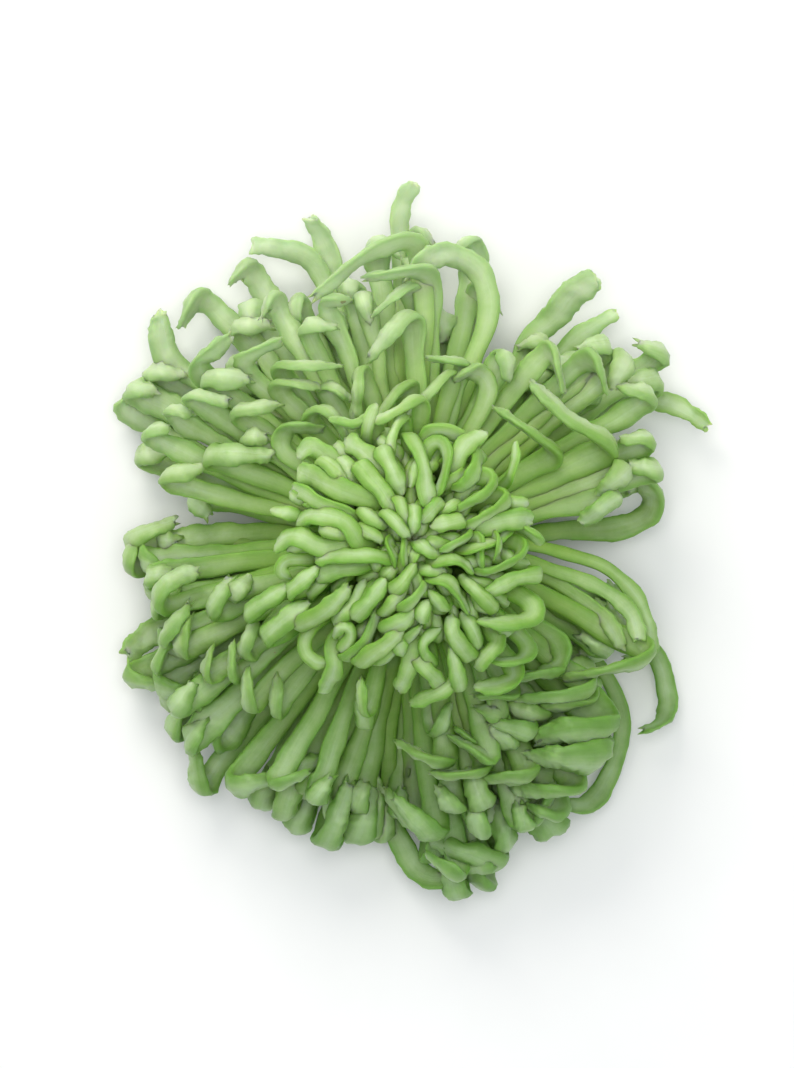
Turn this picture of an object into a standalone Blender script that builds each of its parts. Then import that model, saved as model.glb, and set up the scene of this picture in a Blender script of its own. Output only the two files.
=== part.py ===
"""Spider chrysanthemum bloom, picked with a short stalk and lying face up.

Lengths in the tables are millimetres, seen from above with the eye of the bloom at 0, 0.
A floret is a quill: its shaft leaves the receptacle, runs out to a bend, and hooks over to a blunt tip.
"""

import math
import random

import bmesh
import bpy
import numpy as np

MM = 0.001
OUTER_SEED = 18
CENTRAL_SEED = 120

# Heights above the surface that the bloom lies on
STALK_TOP = 9.0
CUP_BOTTOM = 9.3
CUP_RIM = 16.6
OUTER_CORE = (17.0, 21.0)
CENTRAL_CORE = (21.3, 29.0)

# Radii
STALK_RADIUS = 3.1
CUP_RADIUS = 10.5
OUTER_CORE_RADIUS = 9.0
CENTRAL_CORE_RADIUS = 8.0

# The mound of central florets
MOUND_TOP = 41.0
MOUND_DROP = 0.0115

# How high the low and the middle whorls bend over, and how much the middle one drops as it reaches out
LOW_HEIGHTS = (2.5, 6.5)
RESTING_HEIGHT, RESTING_STEP = 1.4, 4
MIDDLE_HEIGHT, MIDDLE_DROP, MIDDLE_START = 21.0, 0.32, 30.0
MIDDLE_SPREAD, CENTRAL_SPREAD = 1.2, 1.0

# Where a floret is rooted: how deep inside its core, and how far above the core's base
ROOT_DEPTH = 2.2
OUTER_ROOT_LIFT = 2.1
CENTRAL_ROOT_LIFT = 3.4
CENTRAL_ROOT_REACH = 6.0

# A hook's height over the bend grows with its span up to a limit
HOOK_BASE, HOOK_GROWTH, HOOK_LIMIT = 2.6, 0.42, 7.0

# A floret's section: corners, thickness as a share of width, and the most it is rolled about its length
SECTION_SIDES = 4
SECTION_SCALE = 1.28
FLATNESS = 0.66
ROLL = 0.35
OUTER_STATIONS = 8
CENTRAL_STATIONS = 5

# Outer florets nearest the surface:
# bend azimuth, bend radius, tip azimuth, tip radius, width, sweep (root azimuth less bend azimuth)
LOW_WHORL = (
    (93, 56, 89, 60, 4.2, 2),
    (89, 50, 87.5, 52.5, 5.0, 0),
    (77.5, 51.5, 82, 48.5, 4.6, -3),
    (107, 54, 106, 57, 4.4, -4),
    (109, 49, 118, 56.5, 3.8, -4),
    (121.5, 53, 125, 52, 5.2, -4),
    (131, 54.5, 137, 52.5, 4.6, -4),
    (142, 52, 138, 57, 4.6, -4),
    (146, 52, 150, 50, 5.0, 0),
    (151, 53.5, 154, 50, 4.8, 0),
    (155.5, 54, 152, 51, 4.2, 4),
    (160, 49, 158, 44, 4.5, 6),
    (167, 46, 164, 42, 4.5, 6),
    (181, 48.5, 174, 40.5, 4.8, 0),
    (186, 47, 181, 46, 4.6, -2),
    (200, 49, 202, 52.5, 5.0, -6),
    (206, 53, 209.5, 48, 5.0, 0),
    (212, 52, 212, 45, 5.0, 2),
    (219, 52, 215, 47, 4.4, 4),
    (231, 55, 225, 50, 4.8, -3),
    (239.5, 51.5, 238, 45, 5.0, 0),
    (247, 53, 244, 43, 5.4, -3),
    (256.5, 53, 258, 39.5, 7.0, 0),
    (263, 52, 262, 41, 4.8, -3),
    (271, 57, 279, 57, 4.4, -10),
    (277.5, 60.5, 275.5, 55, 5.4, 0),
    (282, 59, 278, 50, 5.4, 0),
    (286.5, 55, 287, 45.5, 5.4, 0),
    (296, 55, 294, 47, 6.6, 4),
    (304, 56.5, 302, 49, 6.2, 24),
    (318, 46, 311, 45, 4.6, 14),
    (329, 52, 320.5, 50.5, 3.8, 10),
    (335, 45, 331, 41, 5.0, 20),
    (5, 39.5, 14, 39, 5.0, -4),
    (15, 42.5, 13, 37, 5.0, -4),
    (21, 43, 25, 38.5, 5.0, -2),
    (27, 54, 22.5, 58.5, 3.4, 6),
    (33, 50, 30, 45, 5.2, 0),
    (37, 53, 41.5, 49.5, 5.4, 0),
    (49.5, 46, 48, 51, 3.4, 6),
    (58, 52, 54, 53.5, 5.0, 2),
)

# Outer florets of the middle whorls, which arch above the low ones
MIDDLE_WHORL = (
    (91, 49.5, 112.5, 45, 4.4, -8),
    (74.5, 46, 91, 44.5, 4.6, -6),
    (85, 44.5, 101, 44.5, 3.6, -6),
    (88, 41.5, 102, 40, 3.4, -8),
    (86, 37, 102.5, 31.5, 4.8, -8),
    (105, 42.5, 110, 38.5, 4.0, 0),
    (101, 43, 100.5, 37, 4.0, 0),
    (117, 41, 109.5, 37.5, 4.2, 0),
    (119, 47, 125, 45, 4.6, 0),
    (134.5, 42, 122.5, 39.5, 4.8, 3),
    (128.5, 37.5, 111.5, 31.5, 4.4, 3),
    (131.5, 35, 119.5, 30, 4.4, 3),
    (137.5, 47.5, 131, 43, 4.4, 0),
    (144, 43.5, 135, 38, 4.8, 0),
    (147, 41.5, 142, 36, 4.4, 0),
    (143.5, 37, 134, 31, 4.4, 0),
    (149, 34, 143, 30, 4.8, 0),
    (151.5, 46, 157, 42, 4.6, 0),
    (160, 47, 152, 42, 5.2, 4),
    (158, 37.5, 148.5, 27.5, 5.0, 4),
    (168, 42.5, 160, 36.5, 4.6, 4),
    (194.5, 43.5, 188.5, 36, 5.4, -3),
    (199, 42.5, 204, 39.5, 4.8, -4),
    (196, 36, 192, 30.5, 4.8, -3),
    (200, 33, 194.5, 27.5, 4.6, -3),
    (205.5, 43.5, 207, 37, 4.6, -3),
    (209.5, 42, 209, 36.5, 4.8, -2),
    (211, 48, 215, 44, 5.0, 0),
    (213, 35, 206, 28.5, 4.6, -2),
    (217.5, 39, 211.5, 34.5, 4.0, 0),
    (224, 39.5, 219, 33.5, 4.6, -2),
    (231.5, 38.5, 225.5, 32, 4.8, 0),
    (241, 46.5, 246, 42, 4.8, 2),
    (249, 46.5, 251, 41.5, 4.6, 2),
    (263, 47.5, 266.5, 41, 4.8, -2),
    (276, 49, 266, 43.5, 5.0, 0),
    (277.5, 46, 278.5, 41, 4.4, 0),
    (278.5, 38, 266.5, 33.5, 4.2, 3),
    (283.5, 52, 284, 44, 4.4, 0),
    (284.5, 47, 284.5, 39, 4.4, 2),
    (288, 40, 274.5, 38.5, 4.0, 4),
    (289.5, 38, 281.5, 33, 4.2, 3),
    (290, 53.5, 291, 47, 5.0, 2),
    (296.5, 44, 287, 41.5, 5.2, 3),
    (303.5, 49, 293, 44.5, 5.6, 5),
    (311.5, 47.5, 297, 41, 6.4, 8),
    (316.5, 45.5, 303.5, 37.5, 6.2, 8),
    (303, 38.5, 293, 33, 4.6, 4),
    (308, 35.5, 298.5, 31, 4.4, 5),
    (319.5, 39.5, 303, 31.5, 5.0, 8),
    (326, 34, 307, 28, 4.6, 8),
    (337, 45, 318, 34, 4.8, 10),
    (336, 40, 330, 37.5, 3.8, 14),
    (341, 42.5, 334, 42, 4.0, 14),
    (10.5, 36, 7, 28, 4.6, -4),
    (18, 39, 14, 31.5, 4.8, -2),
    (23, 42.5, 27, 37.5, 5.0, 0),
    (31, 46.5, 36.5, 43, 5.0, 0),
    (40.5, 47, 37.5, 41, 5.0, 0),
    (47.5, 43.5, 38.5, 40, 4.6, 4),
    (54, 40.5, 44, 34.5, 4.4, 4),
    (44.5, 46, 49, 42, 5.0, 0),
    (63.5, 35, 67.5, 31, 5.0, 2),
    (21, 37.5, 54.5, 33, 5.0, 0),
    (27, 29.5, 57, 25.8, 3.8, -4),
    (62, 29.5, 75, 28, 4.4, -4),
    (71, 31, 85, 30.5, 4.0, -6),
)

# Central florets:
# x and y where the visible finger begins, x and y of its tip, width
CENTRAL_FLORETS = (
    (-22.5, 12.5, -16.2, 16.5, 3.2), (-21, 17.5, -11.8, 13.6, 3.4),
    (-12.3, 12, -18, 14, 3.0), (-7.3, 6.8, -18.2, 11.5, 3.4),
    (-8.6, 3.8, -19.2, 8.0, 2.8), (-8.6, 0.2, -18.6, 3.4, 3.0),
    (-9.2, -0.9, -22, -0.6, 3.2), (-9.2, 8.8, -12, 11.8, 2.6),
    (-6.2, 10.8, -11, 16.4, 3.0), (-9.2, 12.2, -2.9, 5.0, 3.2),
    (-5, 14.5, -2.2, 7.2, 2.8), (-0.8, 20.4, -3.6, 12.8, 2.2),
    (-9, 29.5, -10, 19.6, 3.6), (1, 24.5, -12.5, 17.2, 4.4),
    (4.2, 23, 0.6, 17.8, 3.2), (-0.8, 16.8, 2.6, 5.4, 3.0),
    (1.4, 13.8, -0.4, 8.6, 2.6), (2.4, 17.8, 9, 15.6, 2.8),
    (8.8, 8.4, 11.6, 16.9, 3.4), (7.2, 13, 3.8, 7.2, 2.8),
    (2.6, 15.8, 5.4, 11.8, 2.6), (13, 9.6, 7, 5.6, 3.2),
    (15.8, 6.4, 8.8, 2.2, 3.4), (10.6, 2.4, 19, 3.0, 3.2),
    (8.8, 3.8, 2.6, 1.9, 3.0), (8.4, 6, 3.6, 4.5, 2.6),
    (6.4, -0.6, 1.6, -0.9, 3.0), (10.8, 1.4, 4.4, -2.1, 2.4),
    (10.4, 0.6, 11.2, -3.8, 2.4), (13.2, 1.6, 13.4, -3, 2.2),
    (18.2, -0.4, 10.2, -5.2, 2.8), (20.8, -5.2, 11.8, -8.2, 3.2),
    (3.8, -3.7, 9.8, -5.6, 2.6), (2.4, -5.3, 8.4, -7.8, 2.8),
    (5, -6.6, 8.6, -11.8, 2.6), (13.2, -11.4, 8.2, -5.6, 3.0),
    (19.8, -11.8, 10.8, -13.2, 3.8), (3, -8.8, 5.6, -12, 3.2),
    (9.2, -18.8, 5.8, -12.2, 3.2), (10.8, -17.2, 8, -11.6, 2.8),
    (2, -20.4, 4.4, -14, 2.4), (13.8, -15.8, 10.2, -20.4, 3.2),
    (19.4, -17.6, 12.4, -20, 3.0), (8, -23.4, 6.2, -17.6, 2.8),
    (7, -21.8, 0, -26.6, 2.8), (0.4, -18.2, -1.6, -24.6, 3.0),
    (1.2, -19.8, 4, -24.4, 2.8), (17.5, -22.8, 10.4, -24.4, 3.8),
    (-20.6, -9, -15.7, -4.6, 3.2), (-28.5, -11.6, -20.4, -7.2, 3.2),
    (-27.5, -15.8, -17.2, -10.4, 3.8), (-4.5, -2.2, -15.2, -3, 3.0),
    (-7, -4.6, -15.4, -5.4, 3.0), (-18.8, -13.8, -10.2, -7.2, 3.2),
    (-12.8, -13.2, -7.6, -6.8, 3.0), (-9, -13, -4.4, -6.6, 3.0),
    (-6, -12.6, -1.8, -7.6, 2.8), (-3.4, -10, 0.6, -4.2, 2.8),
    (-5.4, -8.4, -2, -4.4, 2.6), (-1.4, -10.6, 2.4, -6.8, 2.8),
    (-4.2, -15.8, 1.0, -11.2, 3.2), (-10.8, -19.2, -4.8, -11.2, 2.8),
    (-9.4, -20, -1.6, -14.2, 3.0), (-4.4, -19.8, 1.2, -13.8, 3.2),
    (-9.6, -18.6, -12.2, -15.2, 2.6), (-17.6, -17, -13.4, -20.2, 2.6),
    (-11.6, -18.4, -14.8, -24.8, 2.8), (-8, -29.8, -8.6, -23, 3.0),
    (-4, -1, -3.2, -3.8, 1.8), (-1.6, -0.6, -1.4, -3.6, 1.8),
    (0.8, -1.0, -0.6, -3.4, 1.8), (-8.6, 3.6, -4.2, 2.8, 2.4),
    (-9, 1.4, -5.2, 0.2, 2.2), (-4.2, 4.6, -1, 0.6, 2.4),
    (0.2, 5, 0.2, 1.4, 2.2), (-2.4, 6.4, -0.6, 3, 2.2),
    (3.4, 4.6, 1.6, 3.4, 2.4),
)

# Involucre: rows of bracts from the stalk upward, as count, height of the tips, length, width
BRACT_ROWS = ((9, 13.0, 3.2, 3.9), (11, 14.8, 4.4, 4.2), (13, 16.3, 5.4, 4.2))
BRACT_THICKNESS = 0.8
BRACT_KEEL = 0.25
BRACT_OUTLINE = ((0.0, 0.75), (0.5, 1.0), (1.0, 0.08))

# The cup's outside, from the stalk up, as radius and height
CUP_PROFILE = (
    (STALK_RADIUS + 0.4, CUP_BOTTOM),
    (7.2, CUP_BOTTOM + 1.6),
    (9.6, CUP_BOTTOM + 4.4),
    (CUP_RADIUS, CUP_RIM),
)

# Sides of the turned solids, steps up the dome and the share of a quarter turn that it covers
CORE_SIDES = 20
CUP_SIDES = 16
DOME_STEPS = 4
DOME_SHARE = 0.84

SHARP_ANGLE = 50


def clear_scene():
    for obj in list(bpy.data.objects):
        bpy.data.objects.remove(obj)


def on_circle(azimuth, radius, height):
    turn = math.radians(azimuth)
    return np.array((radius * math.cos(turn), radius * math.sin(turn), height))


def smooth_path(knots, stations):
    """Points along a Catmull-Rom curve through the knots."""
    knots = np.array(knots)
    ends = np.vstack((2 * knots[0] - knots[1], knots, 2 * knots[-1] - knots[-2]))
    points = []
    for where in np.linspace(0, len(knots) - 1, stations):
        span = min(int(where), len(knots) - 2)
        t = where - span
        a, b, c, d = ends[span:span + 4]
        slope = (c - a) * t
        bow = (2 * a - 5 * b + 4 * c - d) * t**2
        twist = (3 * b - a - 3 * c + d) * t**3
        points.append(0.5 * (2 * b + slope + bow + twist))
    return np.array(points)


def outer_knots(row, bend_height):
    """Knots of an outer floret: along the shaft, round the bend and over the hook."""
    azimuth, reach, tip_azimuth, tip_radius, _, sweep = row
    bend = on_circle(azimuth, reach, bend_height)
    tip = on_circle(tip_azimuth, tip_radius, 0)
    span = np.linalg.norm((tip - bend)[:2])
    hook = min(HOOK_LIMIT, HOOK_BASE + HOOK_GROWTH * span)
    root_height = OUTER_CORE[0] + OUTER_ROOT_LIFT
    rise = max(bend_height - root_height, 0) * 0.25
    near_height = 0.72 * root_height + 0.28 * bend_height + 1.5
    bend[2] += 0.3 * hook
    tip[2] = bend_height + 0.65 * hook
    crest = 0.62 * bend + 0.38 * tip
    crest[2] = bend_height + hook
    near = on_circle(azimuth + sweep * 0.8, 0.42 * reach, near_height)
    far = on_circle(azimuth + sweep * 0.25, 0.86 * reach, bend_height + 0.4 - rise)
    root = on_circle(azimuth + sweep, OUTER_CORE_RADIUS - ROOT_DEPTH, root_height)
    return root, near, far, bend, crest, tip


def central_knots(row, lift):
    """Knots of a central floret: up out of the core, then along the finger seen from above."""
    x0, y0, x1, y1, _ = row
    start = np.array((x0, y0, 0.0))
    tip = np.array((x1, y1, 0.0))
    middle = 0.5 * (start + tip)
    mound = MOUND_TOP + lift - MOUND_DROP * (middle[0]**2 + middle[1]**2)
    reach = max(np.linalg.norm(start), 0.1)
    root = start * min(0.5, CENTRAL_ROOT_REACH / reach)
    root[2] = CENTRAL_CORE[0] + CENTRAL_ROOT_LIFT
    rising = start * 0.66
    rising[2] = 0.3 * root[2] + 0.7 * mound - 2.0
    start[2] = mound - 1.6
    middle[2] = mound
    tip[2] = mound - 1.9
    return root, rising, start, middle, tip


def quill_profile(where):
    """Share of the full width at a share of the length: slender shaft, full hook, blunt tip."""
    shaft = 0.36 + 0.26 * where
    rise = min(max((where - 0.55) / 0.27, 0.0), 1.0)
    taper = 1.0 - 0.34 * max(0.0, (where - 0.86) / 0.14)**2
    return (shaft + (1.0 - shaft) * rise) * taper


def quill_ring(half, side, up, roll):
    """Corners of a floret's section about its middle, turned by the roll."""
    corners = []
    for corner in range(SECTION_SIDES):
        turn = 2 * math.pi * (corner + 0.5) / SECTION_SIDES
        wide = math.cos(turn)
        thick = FLATNESS * math.sin(turn)
        across = wide * math.cos(roll) - thick * math.sin(roll)
        above = wide * math.sin(roll) + thick * math.cos(roll)
        corners.append(SECTION_SCALE * half * (side * across + up * above))
    return corners


def quill(name, path, width, roll):
    """A closed tube of few sides along the path, wider than it is thick."""
    tangents = np.gradient(path, axis=0)
    tangents /= np.linalg.norm(tangents, axis=1)[:, None]
    side = np.cross((0, 0, 1.0), tangents[0])
    rings = []
    mesh = bmesh.new()
    for index, (point, tangent) in enumerate(zip(path, tangents)):
        side -= tangent * side.dot(tangent)
        side /= np.linalg.norm(side)
        up = np.cross(tangent, side)
        half = 0.5 * width * quill_profile(index / (len(path) - 1))
        ring = []
        for corner in quill_ring(half, side, up, roll):
            place = point + corner
            place[2] = max(place[2], 0.0)
            ring.append(mesh.verts.new(place * MM))
        rings.append(ring)
    skin(mesh, rings)
    bmesh.ops.triangulate(mesh, faces=mesh.faces)
    bmesh.ops.recalc_face_normals(mesh, faces=mesh.faces)
    return mesh_object(name, mesh)


def skin(mesh, rings):
    """Faces from each ring to the next, and one over each end."""
    for ring, following in zip(rings, rings[1:]):
        for k in range(len(ring)):
            after = (k + 1) % len(ring)
            mesh.faces.new((ring[k], ring[after], following[after], following[k]))
    mesh.faces.new(reversed(rings[0]))
    mesh.faces.new(rings[-1])


def turned(name, profile, sides):
    """A closed solid turned about Z from (radius, height) pairs, bottom to top."""
    mesh = bmesh.new()
    rings = []
    for radius, height in profile:
        places = [on_circle(360 * k / sides, radius, height) for k in range(sides)]
        rings.append([mesh.verts.new(place * MM) for place in places])
    skin(mesh, rings)
    bmesh.ops.recalc_face_normals(mesh, faces=mesh.faces)
    return mesh_object(name, mesh)


def mesh_object(name, mesh):
    data = bpy.data.meshes.new(name)
    mesh.to_mesh(data)
    mesh.free()
    obj = bpy.data.objects.new(name, data)
    bpy.context.scene.collection.objects.link(obj)
    return obj


def fused(core, pieces):
    """The core with every piece joined to it by one Boolean union, which is applied."""
    group = bpy.data.collections.new(core.name + "_pieces")
    bpy.context.scene.collection.children.link(group)
    for piece in pieces:
        group.objects.link(piece)
        bpy.context.scene.collection.objects.unlink(piece)
    union = core.modifiers.new("union", "BOOLEAN")
    union.operation = "UNION"
    union.operand_type = "COLLECTION"
    union.solver = "MANIFOLD"
    union.collection = group
    with bpy.context.temp_override(object=core, active_object=core):
        bpy.ops.object.modifier_apply(modifier=union.name)
    for piece in pieces:
        bpy.data.objects.remove(piece)
    bpy.data.collections.remove(group)
    keep_largest_shell(core)
    return core


def keep_largest_shell(obj):
    """Drops loose scraps and the pockets that crossing florets close off."""
    mesh = bmesh.new()
    mesh.from_mesh(obj.data)
    unseen = set(mesh.faces)
    shells = []
    while unseen:
        shell = []
        queue = [unseen.pop()]
        while queue:
            face = queue.pop()
            shell.append(face)
            for edge in face.edges:
                for other in edge.link_faces:
                    if other in unseen:
                        unseen.remove(other)
                        queue.append(other)
        shells.append(shell)
    shells.sort(key=len)
    for shell in shells[:-1]:
        bmesh.ops.delete(mesh, geom=shell, context="FACES")
    mesh.to_mesh(obj.data)
    mesh.free()


def dome_profile(radius, bottom, top):
    profile = [(radius, bottom)]
    for step in range(1, DOME_STEPS + 1):
        turn = DOME_SHARE * 0.5 * math.pi * step / DOME_STEPS
        profile.append((radius * math.cos(turn), bottom + (top - bottom) * math.sin(turn)))
    return profile


def outer_florets():
    draw = random.Random(OUTER_SEED)
    low, high = OUTER_CORE
    profile = ((OUTER_CORE_RADIUS - 1, low), (OUTER_CORE_RADIUS, high))
    core = turned("outer_florets", profile, CORE_SIDES)
    pieces = []
    for index, row in enumerate(LOW_WHORL):
        height = RESTING_HEIGHT if index % RESTING_STEP == 0 else draw.uniform(*LOW_HEIGHTS)
        path = smooth_path(outer_knots(row, height), OUTER_STATIONS)
        pieces.append(quill(f"low_{index}", path, row[4], draw.uniform(-ROLL, ROLL)))
    for index, row in enumerate(MIDDLE_WHORL):
        drop = MIDDLE_DROP * (row[1] - MIDDLE_START)
        height = MIDDLE_HEIGHT - drop + draw.uniform(-MIDDLE_SPREAD, MIDDLE_SPREAD)
        path = smooth_path(outer_knots(row, height), OUTER_STATIONS)
        pieces.append(quill(f"middle_{index}", path, row[4], draw.uniform(-ROLL, ROLL)))
    return fused(core, pieces)


def central_florets():
    draw = random.Random(CENTRAL_SEED)
    core = turned("central_florets", dome_profile(CENTRAL_CORE_RADIUS, *CENTRAL_CORE), CORE_SIDES)
    pieces = []
    for index, row in enumerate(CENTRAL_FLORETS):
        lift = draw.uniform(-CENTRAL_SPREAD, CENTRAL_SPREAD)
        path = smooth_path(central_knots(row, lift), CENTRAL_STATIONS)
        pieces.append(quill(f"central_{index}", path, row[4], draw.uniform(-ROLL, ROLL)))
    return fused(core, pieces)


def involucre():
    cup = turned("involucre", CUP_PROFILE, CUP_SIDES)
    pieces = []
    for row, (count, tip_height, length, width) in enumerate(BRACT_ROWS):
        for number in range(count):
            azimuth = 360 * (number + 0.5 * (row % 2)) / count
            pieces.append(bract(f"bract_{row}_{number}", azimuth, tip_height, length, width))
    return fused(cup, pieces)


def cup_radius(height):
    """Outside radius of the involucre's cup at a height."""
    radii, heights = zip(*CUP_PROFILE)
    return float(np.interp(height, heights, radii))


def bract(name, azimuth, tip_height, length, width):
    """A pointed scale that lies on the cup with its tip free."""
    mesh = bmesh.new()
    rings = []
    for along, share in BRACT_OUTLINE:
        height = tip_height - length * (1 - along)
        lift = 0.25 + 0.45 * along
        outside = cup_radius(height) + lift
        half = math.degrees(0.5 * width * share / outside)
        ring = []
        for angle, depth in ((-half, 0), (0, BRACT_KEEL), (half, 0), (0, -BRACT_THICKNESS)):
            ring.append(mesh.verts.new(on_circle(azimuth + angle, outside + depth, height) * MM))
        rings.append(ring)
    skin(mesh, rings)
    bmesh.ops.triangulate(mesh, faces=mesh.faces)
    bmesh.ops.recalc_face_normals(mesh, faces=mesh.faces)
    return mesh_object(name, mesh)


def stalk():
    profile = ((STALK_RADIUS * 0.94, 0), (STALK_RADIUS, 1.0), (STALK_RADIUS, STALK_TOP))
    return turned("stalk", profile, CUP_SIDES)


def matt(name, colour, roughness):
    material = bpy.data.materials.new(name)
    material.use_nodes = True
    shader = material.node_tree.nodes["Principled BSDF"]
    shader.inputs["Base Color"].default_value = (*colour, 1)
    shader.inputs["Roughness"].default_value = roughness
    shader.inputs["Metallic"].default_value = 0.0
    return material


def pale_green():
    return matt("outer_florets", (0.50, 0.66, 0.33), 0.5)


def bright_green():
    return matt("central_florets", (0.55, 0.74, 0.34), 0.5)


def leaf_green():
    return matt("involucre", (0.20, 0.34, 0.11), 0.6)


def stalk_green():
    return matt("stalk", (0.30, 0.42, 0.16), 0.6)


def centre(objects):
    """Moves every mesh so that the middle of the bloom's box stands over the origin."""
    corners = np.array([vertex.co for obj in objects for vertex in obj.data.vertices])
    low, high = corners.min(axis=0), corners.max(axis=0)
    shift = -0.5 * (low + high)
    for obj in objects:
        for vertex in obj.data.vertices:
            vertex.co.x += shift[0]
            vertex.co.y += shift[1]


def main():
    clear_scene()
    objects = (outer_florets(), central_florets(), involucre(), stalk())
    materials = (pale_green(), bright_green(), leaf_green(), stalk_green())
    centre(objects)
    for obj, material in zip(objects, materials):
        obj.data.materials.append(material)
        obj.data.shade_smooth()
        obj.data.set_sharp_from_angle(angle=math.radians(SHARP_ANGLE))


main()
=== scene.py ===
import math
import random
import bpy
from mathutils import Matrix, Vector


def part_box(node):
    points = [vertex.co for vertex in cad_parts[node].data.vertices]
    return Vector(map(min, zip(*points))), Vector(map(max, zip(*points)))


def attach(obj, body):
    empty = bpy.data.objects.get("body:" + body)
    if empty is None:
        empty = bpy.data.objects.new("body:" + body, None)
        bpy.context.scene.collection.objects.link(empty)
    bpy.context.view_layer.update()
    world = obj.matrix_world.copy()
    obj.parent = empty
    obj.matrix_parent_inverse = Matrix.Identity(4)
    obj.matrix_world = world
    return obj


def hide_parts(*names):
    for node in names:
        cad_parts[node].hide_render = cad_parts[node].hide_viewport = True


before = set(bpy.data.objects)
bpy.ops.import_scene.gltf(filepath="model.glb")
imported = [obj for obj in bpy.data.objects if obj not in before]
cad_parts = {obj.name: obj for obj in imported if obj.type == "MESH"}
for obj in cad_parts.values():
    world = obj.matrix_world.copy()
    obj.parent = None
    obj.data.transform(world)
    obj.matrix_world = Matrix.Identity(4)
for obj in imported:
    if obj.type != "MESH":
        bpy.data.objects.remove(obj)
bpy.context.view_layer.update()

from types import SimpleNamespace

import bmesh
import bpy
import numpy as np
from mathutils import Vector, noise

# Sizes are in millimetres until a mesh is made, and angles are in degrees
MM = 0.001
FULL_TURN = 2 * math.pi
SEED = 7

# The stub of the stalk, the cup under the florets and the two cores that the florets grow from
STALK_TOP = 9.0
STALK_RADIUS = 3.1
STALK_FOOT_SHARE = 0.94
STALK_RIBS = 7
STALK_RIB_DEPTH = 0.03
CUP_BOTTOM = 9.3
CUP_RIM = 16.6
CUP_PROFILE = (
    (STALK_RADIUS + 0.4, CUP_BOTTOM), (7.2, CUP_BOTTOM + 1.6), (9.6, CUP_BOTTOM + 4.4), (10.5, CUP_RIM),
)
OUTER_CORE_BOTTOM = 17.0
OUTER_CORE_TOP = 21.0
OUTER_CORE_RADIUS = 9.0
CENTRAL_CORE_BOTTOM = 21.3
CENTRAL_CORE_TOP = 29.0
CENTRAL_CORE_RADIUS = 8.0
DOME_STEPS = 12
DOME_TURN = 0.46 * math.pi
ROUND_SIDES = 64
STALK_SIDES = 84
SHARP_ANGLE = 50

# The mound of central florets: the height of its top, and its drop per square of the radius
MOUND_TOP = 40.5
MOUND_DROP = 0.0115

# Outer florets near the surface: azimuth of the shaft, width,
# then azimuth and radius at each bend and at the tip
LOW_WHORL = (
    (94, 3.6, (92, 57), (89.5, 60)), (89, 4.8, (89, 52), (86, 50)), (76, 4.5, (78, 52), (82, 49)),
    (104, 4.2, (106.5, 54), (107.5, 57)), (106, 4.0, (110, 51), (118.5, 56.5)),
    (119, 5.0, (121, 54), (125, 53)), (127, 4.5, (131, 55), (137, 53)),
    (139, 4.5, (144, 51.5), (138, 57)), (144, 5.0, (147, 53), (144, 48)),
    (151, 5.0, (151.5, 54), (150, 50)), (160, 4.0, (155, 54.5), (153, 53)),
    (167, 4.4, (163, 49), (160, 44)), (182, 4.5, (181, 48.5), (175.5, 40)),
    (187, 4.6, (185, 48), (180, 47)), (197, 5.2, (200, 48), (202, 52)),
    (205, 5.0, (206, 53.5), (210, 49)), (212, 5.0, (213, 50), (213, 45)),
    (220, 4.6, (219, 52), (215, 47)), (226, 5.0, (230, 55.5), (224, 51)),
    (238, 5.0, (240.5, 52), (239, 46)), (244, 4.5, (245.5, 52), (243, 41)),
    (247, 5.0, (248, 53.5), (247.5, 43.5)), (254, 5.2, (254, 54), (255.5, 42)),
    (257, 5.4, (258.5, 52), (260, 41)), (262, 4.6, (262, 51), (261, 40)),
    (265, 4.2, (265.5, 51), (264, 42)), (262, 4.0, (266, 50), (272, 57.5), (280, 57)),
    (274, 5.0, (277.5, 61), (276, 56)), (280, 5.0, (282, 60), (279, 50.5)),
    (277, 5.0, (285, 57), (274, 51)), (287, 6.0, (286.5, 55), (287, 46)),
    (290, 4.8, (290, 52), (291, 48)), (295, 6.3, (296, 55.5), (294, 47)),
    (330, 3.4, (325, 41), (318, 48.5), (310, 52), (303, 54.5), (299, 50)),
    (336, 3.5, (336, 45), (330, 50), (325, 53), (320.5, 50.5)),
    (342, 3.4, (339, 41), (335, 45), (331, 41)), (2, 4.5, (3, 34), (6, 40.5), (12, 41.5), (16, 39)),
    (13, 4.4, (15, 42.5), (13, 37)), (33, 3.6, (32.5, 44.5), (27, 50.5), (21, 53.5)),
    (37, 5.2, (36.5, 53), (41, 50.5)), (32, 5.0, (33, 50), (36, 45)), (53, 3.2, (51, 43), (48, 51.5)),
    (59, 5.0, (57, 50), (54.5, 53.5)),
)

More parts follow.
